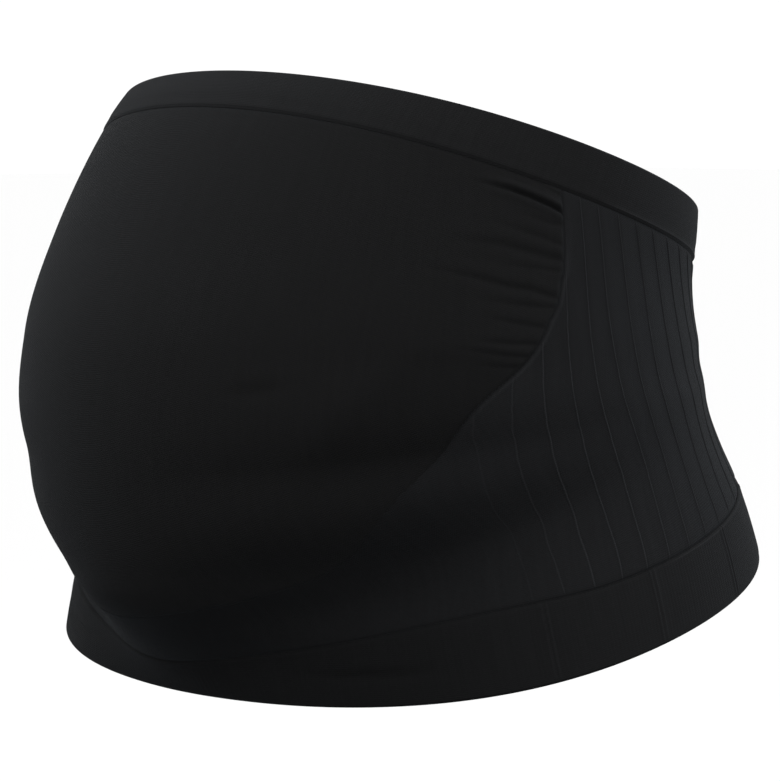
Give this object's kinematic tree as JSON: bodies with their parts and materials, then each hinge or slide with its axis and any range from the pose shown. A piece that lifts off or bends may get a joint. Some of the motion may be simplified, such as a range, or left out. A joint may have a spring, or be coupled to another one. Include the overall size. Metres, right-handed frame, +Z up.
{
  "type": "maternity support belt",
  "caption": "Seamless knitted pull-on band in its worn form, with a smooth bump panel, a pleated support panel round the back and double-knit edges.",
  "frame": {"origin": "on the body's axis, level with the hem at the hips: the middle of the hip opening, where the band sits on the torso", "axes": "+Z up the body, -Y to the front (the bump), +X to the wearer's left"},
  "size_m": [0.353, 0.294, 0.2642],
  "materials": {
    "band_knit": "double-knit black polyamide and elastane, fine upright ribs, dull with a faint sheen at grazing angles",
    "smooth_knit": "fine plain black knit, matt",
    "pleated_knit": "firm black knit with raised upright lines, slightly bluish sheen",
    "hem_knit": "double-knit black polyamide and elastane, fine upright ribs, dull"
  },
  "bodies": {
    "root": {"top_band": "band_knit", "belly_panel": "smooth_knit", "support_panel": "pleated_knit", "bottom_band": "hem_knit"}
  },
  "joints": []
}
